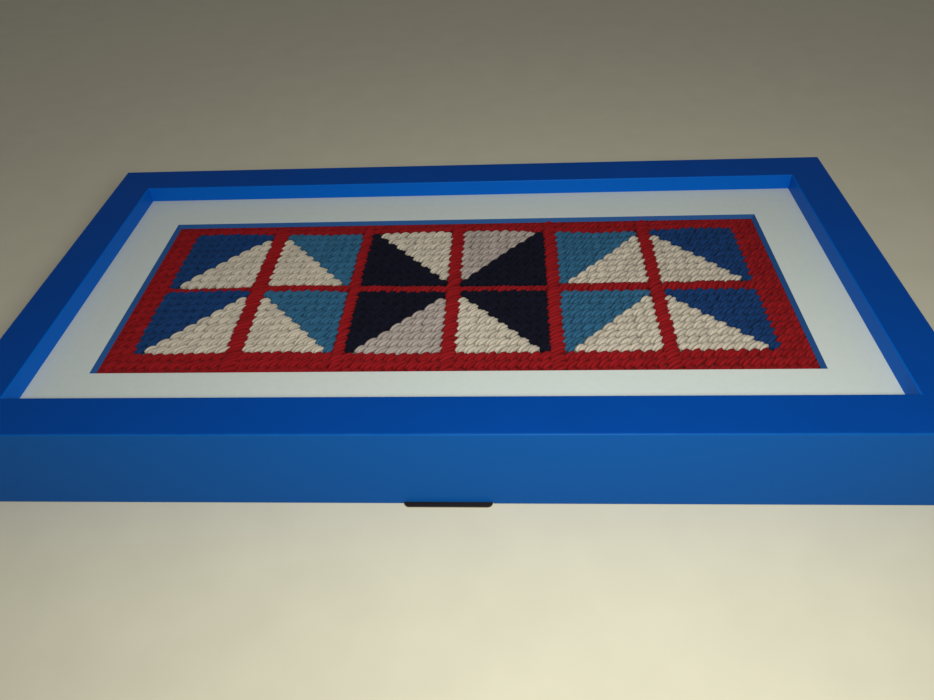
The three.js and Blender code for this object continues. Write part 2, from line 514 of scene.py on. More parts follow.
@dataclass(frozen=True)
class SheetSteel(Finish):
    """Sheet steel, plain or lacquered."""

    tones: Limits = (0.8, 1.15)
    cloud: float = 120.0
    rolling: tuple[float, float, float] = (90.0, 2400.0, 2400.0)
    metallic: float = 1.0

    def shades(self, graph: NodeGraph, place: Socket) -> tuple[Socket, Socket]:
        """Builds a cloudy tone and fine rolling marks.

        Args:
            graph: The material's nodes.
            place: The Object coordinates.

        Returns:
            The colour's socket and the height's.
        """
        colour = self.toned(graph, graph.noise(place, self.cloud), self.tones)
        return colour, graph.streaks(place, self.rolling)

    def gloss(self) -> dict[str, float]:
        """How metallic the surface is."""
        return {"Metallic": self.metallic}


@dataclass(frozen=True)
class Hardboard(Finish):
    """Brown pressed fibre board, with short darker fibres."""

    name: str = "hardboard"
    colour: Colour = (0.25, 0.15, 0.085)
    roughness: float = 0.75
    tones: Limits = (0.72, 1.15)
    contrast: Limits = (0.35, 0.65)
    cloud: float = 30.0
    grain: float = 900.0
    relief: float = 0.06 * MM

    def shades(self, graph: NodeGraph, place: Socket) -> tuple[Socket, Socket]:
        """Builds the board's fibres, in the colour and as its pressed grain.

        Args:
            graph: The material's nodes.
            place: The Object coordinates.

        Returns:
            The colour's socket and the height's.
        """
        fibres = graph.noise(place, self.grain, detail=6.0)
        shade = graph.blend(0.5, fibres, graph.noise(place, self.cloud))
        return self.toned(graph, graph.ramp(shade, *self.contrast), self.tones), fibres


class YarnColour(Enum):
    """The yarns of the needlepoint."""

    CRIMSON = (0.335, 0.011, 0.0145)
    IVORY = (0.665, 0.57, 0.46)
    GREY = (0.49, 0.403, 0.361)
    DARK_BLUE = (0.0123, 0.0505, 0.172)
    LIGHT_BLUE = (0.037, 0.141, 0.26)
    NAVY = (0.009, 0.009, 0.020)

    @property
    def label(self) -> str:
        """The yarn's plain name."""
        return self.name.lower()

    @property
    def wool(self) -> Wool:
        """The wool in this colour."""
        return Wool(f"wool_{self.label}", self.value)


class Piece:
    """A mesh in the making: its points, its faces and what each face wears."""

    def __init__(self, name: str) -> None:
        """Starts an empty piece.

        Args:
            name: The piece's name.
        """
        self.name = name
        self.points: list[Vector] = []
        self.faces: list[tuple[int, ...]] = []
        self.looks: list[int] = []
        self.smooth: list[bool] = []

    def face(self, corners: tuple[int, ...], look: int = 0, smooth: bool = False) -> None:
        """Adds a face.

        Args:
            corners: The places of its points in the list, counter-clockwise from outside.
            look: Which material it wears.
            smooth: Whether it is shaded as part of a curve.
        """
        self.faces.append(corners)
        self.looks.append(look)
        self.smooth.append(smooth)

    def build(self, *materials: bpy.types.Material) -> bpy.types.Object:
        """Makes the object.

        Args:
            materials: What its faces wear, by number.

        Returns:
            The object, at the origin, linked to the scene.
        """
        mesh = bpy.data.meshes.new(self.name)
        mesh.from_pydata([tuple(point) for point in self.points], [], self.faces)
        for material in materials:
            mesh.materials.append(material)
        mesh.polygons.foreach_set("material_index", self.looks)
        mesh.polygons.foreach_set("use_smooth", self.smooth)
        mesh.update()
        return link(bpy.data.objects.new(self.name, mesh))


def link(obj: bpy.types.Object) -> bpy.types.Object:
    """Links an object to the scene and gives it back."""
    bpy.context.scene.collection.objects.link(obj)
    return obj


def box_piece(name: str, low: Vector, high: Vector) -> Piece:
    """Makes a plain box between two corners.

    Args:
        name: The piece's name.
        low: The lowest corner.
        high: The highest corner.

    Returns:
        The box.
    """
    piece = Piece(name)
    for z in (low.z, high.z):
        for x, y in CORNERS:
            piece.points.append(Vector((low.x if x < 0 else high.x, low.y if y < 0 else high.y, z)))
    piece.face((3, 2, 1, 0))
    piece.face((4, 5, 6, 7))
    for i in range(4):
        j = (i + 1) % 4
        piece.face((i, j, j + 4, i + 4))
    return piece


def settle(obj: bpy.types.Object) -> bpy.types.Object:
    """Turns an object with modifiers into a plain mesh object.

    Args:
        obj: The object, whose modifiers are to be applied.

    Returns:
        The same object, with its evaluated mesh and no modifier.
    """
    depsgraph = bpy.context.evaluated_depsgraph_get()
    made = bpy.data.meshes.new_from_object(obj.evaluated_get(depsgraph), depsgraph=depsgraph)
    old = obj.data
    obj.modifiers.clear()
    obj.data = made
    made.name = obj.name
    bpy.data.meshes.remove(old)
    return obj


def fit(obj: bpy.types.Object, slot: str, *nodes: str) -> bpy.types.Object:
    """Fits a finished piece to the body.

    Args:
        obj: The piece.
        slot: The record's material slot. Not used.
        nodes: The solids that it stands for.

    Returns:
        The same piece.
    """
    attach(obj, BODY)
    if nodes:
        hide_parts(*nodes)
    log.info("%s: %d faces", obj.name, len(obj.data.polygons))
    return obj


def wear(node: str, material: bpy.types.Material) -> None:
    """Gives a solid that stays its material.

    Args:
        node: The solid's name.
        material: What it wears.
    """
    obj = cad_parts[node]
    obj.data.materials.clear()
    obj.data.materials.append(material)
    log.info("%s: stays, in %s", node, material.name)


@dataclass(frozen=True)
class Moulding:
    """The box frame: four mitred rails with a rebate behind the lip.

    Its sight is the opening's halves. Its end step keeps the long faces' shading from being
    bent by the mitres.
    """

    sight: Limits
    centre_y: float
    face: float
    depth: float
    shoulder: float
    rebate: float = 6.4 * MM
    face_round: float = 0.7 * MM
    back_round: float = 0.5 * MM
    round_steps: int = 6
    mitre_gap: float = 0.02 * MM
    end_step: float = 0.1 * MM
    recess_gap: float = 0.3 * MM
    recess_reach: float = 2.0 * MM

    @classmethod
    def from_frame(cls) -> "Moulding":
        """Reads the rails' places from the solids.

        Returns:
            The moulding at the size of the solids.
        """
        (_, near_low, _), (_, near_high, top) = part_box("rail_near")
        (_, far_low, _), (_, far_high, _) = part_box("rail_far")
        _, (left_high, _, _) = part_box("rail_left")
        _, (_, _, mat_top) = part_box("mat")
        return cls(
            sight=(-left_high, (far_low - near_high) / 2),
            centre_y=(far_low + near_high) / 2,
            face=far_high - far_low,
            depth=top,
            shoulder=mat_top,
        )

    def paint(self) -> bpy.types.Material:
        """Makes the paint that follows the rails' own edges."""
        paint = SatinPaint(
            sight=self.sight, centre_y=self.centre_y, face=self.face, depth=self.depth
        )
        return paint.material()

    def section(self) -> list[tuple[float, float, bool]]:
        """The moulding's section, counter-clockwise from the rebate's foot.

        Returns:
            For each point how far out and up it lies, and whether the edge after it is curved.
        """
        foot, crest = self.back_round, self.face_round
        corners = (
            (self.face - foot, foot, foot, -90),
            (self.face - crest, self.depth - crest, crest, 0),
            (crest, self.depth - crest, crest, 90),
        )
        points = [(self.rebate, 0.0, False)]
        for out, up, radius, start in corners:
            for step in range(self.round_steps + 1):
                angle = math.radians(start + 90 * step / self.round_steps)
                place = (out + radius * math.cos(angle), up + radius * math.sin(angle))
                points.append((*place, step < self.round_steps))
        points.append((0.0, self.shoulder, False))
        points.append((self.rebate, self.shoulder, False))
        return points

    def rail(self, name: str, turn: int, material: bpy.types.Material) -> bpy.types.Object:
        """Makes one rail.

        Args:
            name: The rail's name.
            turn: How many quarter turns from the near side it lies.
            material: Its paint.

        Returns:
            The rail.
        """
        along_half, across_half = self.sight[turn % 2], self.sight[1 - turn % 2]
        centre = Vector((0.0, self.centre_y, 0.0))
        spin = Matrix.Rotation(turn * math.pi / 2, 4, "Z")
        stations = ((-1, 0.0), (-1, self.end_step), (1, self.end_step), (1, 0.0))
        section = self.section()
        count = len(section)
        piece = Piece(name)
        for side, short in stations:
            for out, up, _ in section:
                along = side * (along_half + out - self.mitre_gap - short)
                piece.points.append(spin @ Vector((along, -(across_half + out), up)) + centre)
        last = (len(stations) - 1) * count
        for here in range(0, last, count):
            for i, (_, _, curved) in enumerate(section):
                j = (i + 1) % count
                corners = (here + i, here + i + count, here + j + count, here + j)
                piece.face(corners, smooth=curved)
        piece.face(tuple(range(count)))
        piece.face(tuple(reversed(range(last, last + count))))
        return piece.build(material)

    def let_in_plate(self, rail: bpy.types.Object) -> None:
        """Cuts the recess for the hanger plate out of the near rail's back.

        Args:
            rail: The near rail.
        """
        low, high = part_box("hanger_plate")
        gap, reach = self.recess_gap, self.recess_reach
        low = Vector(low) - Vector((gap, reach, reach))
        recess = box_piece("recess", low, Vector(high) + Vector((gap, gap, gap))).build()
        cut = rail.modifiers.new("recess", "BOOLEAN")
        cut.operation = "DIFFERENCE"
        cut.object = recess
        settle(rail)
        bpy.data.objects.remove(recess)

    def build(self) -> None:
        """Makes the four rails, and lets the hanger plate into the near one."""
        paint = self.paint()
        sides = ("near", "right", "far", "left")
        rails = [self.rail(f"moulding_{side}", turn, paint) for turn, side in enumerate(sides)]
        self.let_in_plate(rails[0])
        for side, rail in zip(sides, rails):
            fit(rail, "frame_paint", f"rail_{side}")


@dataclass(frozen=True)
class WindowMat:
    """The mat: a board with a window cut at 45 degrees, whose cut edge is blue.

    The window's halves are those of the bevel's top edge, and its shift is from the board's
    middle.
    """

    half_x: float = 165.0 * MM
    half_y: float = 62.15 * MM
    shift: Limits = (-0.5 * MM, -1.7 * MM)
    thickness: float = 1.8 * MM
    paper: MatBoard = MatBoard()
    core: Finish = Finish("bevel_core", (0.006, 0.08, 0.28), 0.8)

    @property
    def foot(self) -> Limits:
        """The window's halves at the bevel's lower edge."""
        return (self.half_x - self.thickness, self.half_y - self.thickness)

    def build(self) -> None:
        """Makes the mat in the place of its solid."""
        low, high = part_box("mat")
        middle = Vector(((low[0] + high[0]) / 2, (low[1] + high[1]) / 2, 0.0))
        window = middle + Vector((*self.shift, 0.0))
        outer = ((high[0] - low[0]) / 2, (high[1] - low[1]) / 2)
        rings = (
            (middle, outer, high[2]),
            (window, (self.half_x, self.half_y), high[2]),
            (window, self.foot, low[2]),
            (middle, outer, low[2]),
        )
        piece = Piece("window_mat")
        for centre, (half_x, half_y), z in rings:
            for x, y in CORNERS:
                piece.points.append(centre + Vector((x * half_x, y * half_y, z)))
        for ring in range(4):
            here, there = 4 * ring, 4 * ((ring + 1) % 4)
            bevelled = ring == 1
            for i in range(4):
                j = (i + 1) % 4
                piece.face((here + i, here + j, there + j, there + i), look=int(bevelled))
        fit(piece.build(self.paper.material(), self.core.material()), "mat_board", "mat")


class Part(Enum):
    """What part of the pattern a stitch belongs to."""

    FIELD = "patch or border"
    UPRIGHT = "upright sash"
    LEVEL = "level sash"


@dataclass(frozen=True)
class Chart:
    """The pattern by rule: sashed cells, each cut in two along its diagonal.

    Two cells side by side make a block, and the block in the middle has its own yarns.
    """

    border: int = 3
    cell: int = 9
    cells_across: int = 6
    cells_up: int = 2
    middle_block: int = 1

    @property
    def repeat(self) -> int:
        """How many stitches lie from sash to sash."""
        return self.cell + 1

    @property
    def columns(self) -> int:
        """How many stitches the field is long."""
        return 2 * self.border + self.cells_across * self.repeat - 1

    @property
    def rows(self) -> int:
        """How many stitches the field is wide."""
        return 2 * self.border + self.cells_up * self.repeat - 1

    def part(self, column: int, row: int) -> Part:
        """Finds the part of the pattern that a stitch belongs to.

        Args:
            column: The stitch's column, from the left.
            row: The stitch's row, from the near side.

        Returns:
            Its part. An upright sash also runs through the near and the far border.
        """
        if not self.border <= column < self.columns - self.border:
            return Part.FIELD
        if (column - self.border) % self.repeat == self.cell:
            return Part.UPRIGHT
        return Part.LEVEL if row == self.border + self.cell else Part.FIELD

    def yarn(self, column: int, row: int) -> YarnColour:
        """Finds the yarn of one stitch.

        Args:
            column: The stitch's column, from the left.
            row: The stitch's row, from the near side.

        Returns:
            The yarn that it is worked in.
        """
        across, place = divmod(column - self.border, self.repeat)
        up, height = divmod(row - self.border, self.repeat)
        outside = not (0 <= across < self.cells_across and 0 <= up < self.cells_up)
        if outside or self.cell in (place, height):
            return YarnColour.CRIMSON
        central = across // 2 == self.middle_block
        hanging = central and up == self.cells_up - 1
        from_sash = place if across % 2 else self.cell - 1 - place
        from_base = self.cell - 1 - height if hanging else height
        if from_sash < self.cell - 1 - from_base:
            return YarnColour.GREY if central and across % 2 == up else YarnColour.IVORY
        if central:
            return YarnColour.NAVY
        outer = across in (0, self.cells_across - 1)
        return YarnColour.DARK_BLUE if outer else YarnColour.LIGHT_BLUE


@dataclass(frozen=True)
class Strand:
    """A plain strand of the wool, as it lies in a stitch over the canvas.

    Its overlap is its length as a share of a plain stitch's diagonal. It dives and tapers
    towards its ends, each by a power of how far from its middle it is.
    """

    width: float = 2.6 * MM
    height: float = 2.3 * MM
    overlap: float = 1.06
    dive: float = 0.8 * MM
    dive_power: float = 2.4
    taper: float = 0.4
    taper_power: float = 4.0
    segments: int = 6
    sides: int = 8


@dataclass(frozen=True)
class Hand:
    """The unevenness of work by hand.

    Each strand turns, shifts and varies in size at random, up to its jitters, and tilts by a
    share of the turning. The rows and the columns sway slowly, over the sway's length, and
    the columns lean by the skew.
    """

    turn_jitter: float = math.radians(6.0)
    tilt_share: float = 0.5
    place_jitter: float = 0.3 * MM
    size_jitter: float = 0.12
    sway: float = 0.45 * MM
    sway_length: float = 45.0 * MM
    sway_seeds: Limits = (1.7, 5.3)
    skew: float = 0.008
    seed: int = 11
    seed_step: int = 17

    def wander(self, x: float, y: float) -> tuple[float, ...]:
        """Finds how far the rows and the columns have swayed at a place on the cloth.

        Args:
            x: The place along the cloth.
            y: The place across the cloth.

        Returns:
            How far they have swayed along it and across it.
        """
        spot = (x / self.sway_length, y / self.sway_length)
        return tuple(self.sway * noise.noise(Vector((*spot, seed))) for seed in self.sway_seeds)


class Draw(IntEnum):
    """The random draws for a strand, which their numbers keep apart."""

    ALONG = 1
    ACROSS = 2
    HEADING = 3
    TILT = 4
    ROLL = 5
    WIDTH = 6
    HEIGHT = 7
    TONE = 8


@dataclass(frozen=True)
class Stitch:
    """One stitch of the cloth: where it lies, and the traits that its strands are laid by.

    Its reach, girth and plumpness scale a plain strand, its lean turns it from the row, and
    its strands lie apart by a step along the row and a step across it.
    """

    place: Vector
    reach: float
    girth: float
    plump: float
    lean: float
    apart_x: float
    apart_y: float


class StitchTree:
    """The geometry nodes that lay one slanted stitch of doubled wool on each point."""

    GEOMETRY = "NodeSocketGeometry"
    SIZES = ("Length", "Width", "Height", "Dive", "Turn Jitter", "Place Jitter", "Size Jitter")
    COUNTS = ("Strands", "Segments", "Sides", "Seed")

    def __init__(self, strand: Strand, hand: Hand) -> None:
        """Builds the tree, with its named inputs.

        Args:
            strand: The strand that it lays.
            hand: The unevenness that it lays it with.
        """
        self.strand = strand
        self.hand = hand
        self.tree = bpy.data.node_groups.new("slanted_stitches", "GeometryNodeTree")
        self.graph = NodeGraph(self.tree)
        self.inputs: dict[str, str] = {}
        self._socket("Points", self.GEOMETRY)
        for name in self.SIZES:
            self._socket(name, "NodeSocketFloat")
        for name in self.COUNTS:
            self._socket(name, "NodeSocketInt")
        self._socket("Yarn", "NodeSocketMaterial")
        self.tree.interface.new_socket("Stitches", in_out="OUTPUT", socket_type=self.GEOMETRY)
        self._lay(self.graph.add("NodeGroupInput").outputs)

    def _socket(self, name: str, kind: str) -> None:
        """Adds a named input and keeps its identifier."""
        socket = self.tree.interface.new_socket(name, in_out="INPUT", socket_type=kind)
        self.inputs[name] = socket.identifier

    def _capture(self, geometry: Socket, kind: str, value: Socket) -> tuple[Socket, Socket]:
        """Keeps a value on a geometry's points.

        Args:
            geometry: The geometry to keep it on.
            kind: FLOAT or VECTOR.
            value: The value.

        Returns:
            The geometry's socket and the kept value's.
        """
        node = self.graph.add("GeometryNodeCaptureAttribute", {"Geometry": geometry})
        node.capture_items.new(kind, "Kept")
        self.graph.feed(node.inputs["Kept"], value)
        return node.outputs[0], node.outputs["Kept"]

    def _name(self, geometry: Socket, name: str, value: Socket, kind: str, domain: str) -> Socket:
        """Stores a named attribute.

        Args:
            geometry: The geometry to store it on.
            name: Its name.
            value: The value.
            kind: Its data type.
            domain: What it is stored on.

        Returns:
            The geometry's socket.
        """
        node = self.graph.add("GeometryNodeStoreNamedAttribute", data_type=kind, domain=domain)
        self.graph.feed_enabled(node, {"Geometry": geometry, "Name": name, "Value": value})
        return node.outputs[0]

    def _trait(self, name: str) -> Socket:
        """Reads one of a stitch's traits from its point."""
        return self.graph.add("GeometryNodeInputNamedAttribute", {"Name": name}).outputs[0]

    def _random(self, low: Any, high: Any, seed: Socket, draw: Draw) -> Socket:
        """Adds a random number for each strand.

        Args:
            low: The least value.
            high: The greatest value.
            seed: The tree's seed.
            draw: Which draw it is.

        Returns:
            The number's socket.
        """
        node = self.graph.add("FunctionNodeRandomValue", data_type="FLOAT")
        own = self.graph.math("ADD", seed, float(draw))
        self.graph.feed_enabled(node, {"Min": low, "Max": high, "Seed": own})
        return next(each for each in node.outputs if each.enabled)

    def _about(self, jitter: Socket, seed: Socket, draw: Draw) -> Socket:
        """Adds a random number up to the jitter either way."""
        return self._random(self.graph.math("MULTIPLY", jitter, -1.0), jitter, seed, draw)

    def _varied(self, size: Socket, jitter: Socket, seed: Socket, draw: Draw) -> Socket:
        """Varies a size at random, up to the jitter as a share of it."""
        factor = self.graph.math("ADD", self._about(jitter, seed, draw), 1.0)
        return self.graph.math("MULTIPLY", size, factor)

    def _path(self, given: bpy.types.NodeOutputs) -> tuple[Socket, Socket]:
        """Bends a strand's path along +X, down at both ends, and thins it there.

        Args:
            given: The tree's inputs, by name.

        Returns:
            The path's socket, and the socket of how far along it is, from 0 to 1.
        """
        graph = self.graph
        half = graph.math("MULTIPLY", given["Length"], 0.5)
        ends = {
            "Start Location": graph.join(graph.math("MULTIPLY", half, -1.0)),
            "Offset": graph.join(half),
            "Count": graph.math("ADD", given["Segments"], 1.0),
        }
        line = graph.add("GeometryNodeMeshLine", ends, mode="END_POINTS").outputs[0]
        path = graph.add("GeometryNodeMeshToCurve", {0: line}).outputs[0]
        along = graph.add("GeometryNodeSplineParameter").outputs["Factor"]
        reach = graph.math("ABSOLUTE", graph.math("MULTIPLY_ADD", along, 2.0, -1.0))
        dip = graph.math("POWER", reach, self.strand.dive_power)
        sink = graph.math("MULTIPLY", graph.math("MULTIPLY", dip, given["Dive"]), -1.0)
        down = {"Geometry": path, "Offset": graph.join(z=sink)}
        path = graph.add("GeometryNodeSetPosition", down).outputs[0]
        path = graph.add("GeometryNodeSetCurveNormal", {0: path}, mode="Z_UP").outputs[0]
        thinned = graph.math("POWER", reach, self.strand.taper_power)
        girth = graph.math("SUBTRACT", 1.0, graph.math("MULTIPLY", thinned, self.strand.taper))
        radius = {"Curve": path, "Radius": girth}
        path = graph.add("GeometryNodeSetCurveRadius", radius).outputs[0]
        return self._capture(path, "FLOAT", along)

    def _strand(self, given: bpy.types.NodeOutputs) -> Socket:
        """Builds one strand, with its yarn coordinates: along it, raised and aside.

        Args:
            given: The tree's inputs, by name.

        Returns:
            The strand's geometry.
        """
        graph = self.graph
        path, along = self._path(given)
        circle = {"Resolution": given["Sides"], "Radius": 0.5}
        ring = graph.add("GeometryNodeCurvePrimitiveCircle", circle).outputs[0]
        around = graph.add("GeometryNodeSplineParameter").outputs["Factor"]
        angle = graph.math("MULTIPLY", around, math.tau)
        turned = graph.join(0.0, graph.math("SINE", angle), graph.math("COSINE", angle))
        ring, turned = self._capture(ring, "VECTOR", turned)
        oval = {"Geometry": ring, "Scale": graph.join(given["Width"], given["Height"], 1.0)}
        section = graph.add("GeometryNodeTransform", oval).outputs[0]
        swept = {"Curve": path, "Profile Curve": section, "Fill Caps": True}
        tube = graph.add("GeometryNodeCurveToMesh", swept).outputs[0]
        both = {0: graph.join(along), 1: turned}
        yarn = graph.add("ShaderNodeVectorMath", both, operation="ADD").outputs[0]
        named = self._name(tube, "yarn", yarn, "FLOAT_VECTOR", "POINT")
        return graph.add("GeometryNodeSetShadeSmooth", {"Geometry": named}).outputs[0]

    def _lay(self, given: bpy.types.NodeOutputs) -> None:
        """Instances the strands on the points, and ends in real, dressed geometry.

        Args:
            given: The tree's inputs, by name.
        """
        graph, seed = self.graph, given["Seed"]
        place, turn, size = given["Place Jitter"], given["Turn Jitter"], given["Size Jitter"]
        reach, girth, plump, lean, apart_x, apart_y = [self._trait(name) for name in TRAITS]
        copies = {"Geometry": given["Points"], "Amount": given["Strands"]}
        points, copy = graph.add("GeometryNodeDuplicateElements", copies, domain="POINT").outputs
        side = graph.math("MULTIPLY_ADD", graph.math("SUBTRACT", given["Strands"], 1.0), -0.5, copy)
        along = graph.math("MULTIPLY_ADD", side, apart_x, self._about(place, seed, Draw.ALONG))
        across = graph.math("MULTIPLY_ADD", side, apart_y, self._about(place, seed, Draw.ACROSS))
        shifted = {"Geometry": points, "Offset": graph.join(along, across)}
        points = graph.add("GeometryNodeSetPosition", shifted).outputs[0]
        roll, tilt = self._about(turn, seed, Draw.ROLL), self._about(turn, seed, Draw.TILT)
        tilt = graph.math("MULTIPLY", tilt, self.hand.tilt_share)
        heading = graph.math("ADD", lean, self._about(turn, seed, Draw.HEADING))
        wide = self._varied(girth, size, seed, Draw.WIDTH)
        high = self._varied(plump, size, seed, Draw.HEIGHT)
        laying = {
            "Points": points,
            "Instance": self._strand(given),
            "Rotation": graph.join(roll, tilt, heading),
            "Scale": graph.join(reach, wide, high),
        }
        laid = graph.add("GeometryNodeInstanceOnPoints", laying).outputs[0]
        tone = self._random(0.0, 1.0, seed, Draw.TONE)
        toned = self._name(laid, "tone", tone, "FLOAT", "INSTANCE")
        real = graph.add("GeometryNodeRealizeInstances", {0: toned}).outputs[0]
        dressing = {"Geometry": real, "Material": given["Yarn"]}
        dressed = graph.add("GeometryNodeSetMaterial", dressing).outputs[0]
        graph.add("NodeGroupOutput", {0: dressed})

    def work(self, points: bpy.types.Object, values: dict[str, Any]) -> bpy.types.Object:
        """Turns an object of points into stitches.

        Args:
            points: The object whose points are the stitches' places.
            values: The tree's inputs, by name.

        Returns:
            The same object, with the stitches as its plain mesh.
        """
        modifier = points.modifiers.new("stitches", "NODES")
        modifier.node_group = self.tree
        for name, value in values.items():
            modifier[self.inputs[name]] = value
        return settle(points)


@dataclass(frozen=True)
class CellWork:
    """How one cell's width of the cloth was worked.

    Its near border's line, its sash and its far border's foot have crept away from the near
    side by these lengths, and its sash is this high.
    """

    near_creep: float
    sash_creep: float
    far_creep: float
    sash_height: float

    @property
    def creeps(self) -> tuple[float, float, float]:
        """Its three creeps, from the near side to the far side."""
        return (self.near_creep, self.sash_creep, self.far_creep)


@dataclass(frozen=True)
class LineWork:
    """How one upright line was worked: how far it drifted to the right, and how wide it is."""

    drift: float
    width: float


@dataclass(frozen=True)
class Span:
    """Where a column or a row of stitches lies, and how wide it is."""

    middle: float
    size: float


def spread(lines: list[Span], place: int, repeat: int, pitch: float) -> Span:
    """Finds one column or row among lines that lie a repeat apart.

    Args:
        lines: The lines, whose stitches are counted in.
        place: Which column or row it is, counted from the first line.
        repeat: How many stitches lie from line to line.
        pitch: The size of a plain stitch, beyond the first and the last line.

    Returns:
        Its middle and its size. Those between two lines share the room there evenly.
    """
    before, step = divmod(place, repeat)
    if before < 0:
        return Span(lines[0].middle + place * pitch, pitch)
    if before >= len(lines) - 1:
        beyond = place - repeat * (len(lines) - 1)
        return Span(lines[-1].middle + beyond * pitch, pitch)
    if step == 0:
        return lines[before]
    start = lines[before].middle + lines[before].size / 2
    end = lines[before + 1].middle - lines[before + 1].size / 2
    each = (end - start) / (repeat - 1)
    return Span(start + (step - 0.5) * each, each)


def between(values: list[float], place: float) -> float:
    """Reads a list at a place between its entries.

    Args:
        values: The entries.
        place: Where to read, counted from the first entry.

    Returns:
        The value there, or the nearest entry's beyond the ends.
    """
    before = max(0, min(len(values) - 2, math.floor(place)))
    share = max(0.0, min(1.0, place - before))
    return values[before] * (1 - share) + values[before + 1] * share


@dataclass(frozen=True)
class Loft:
    """How high the wool stands, beside a plain strand.

    It is pressed down at the mat, rises over the slope, and is highest in the cloth's middle.
    """

    edge: float = 0.92
    ring: float = 1.2
    crown: float = 1.45
    slope: float = 3.0 * MM
    window: WindowMat = WindowMat()

    def at(self, x: float, y: float) -> float:
        """Finds the wool's loft at a place.

        Args:
            x: The place along the cloth, from its middle.
            y: The place across the cloth, from its middle.

        Returns:
            The height beside a plain strand's.
        """
        foot_x, foot_y = self.window.foot
        x, y = x - self.window.shift[0], y - self.window.shift[1]
        inside = min(foot_x - abs(x), foot_y - abs(y))
        rise = max(0.0, 1 - (y / foot_y) ** 2) * max(0.0, 1 - (x / foot_x) ** 4)
        free = self.ring + (self.crown - self.ring) * rise
        return between([self.edge, free], inside / self.slope)


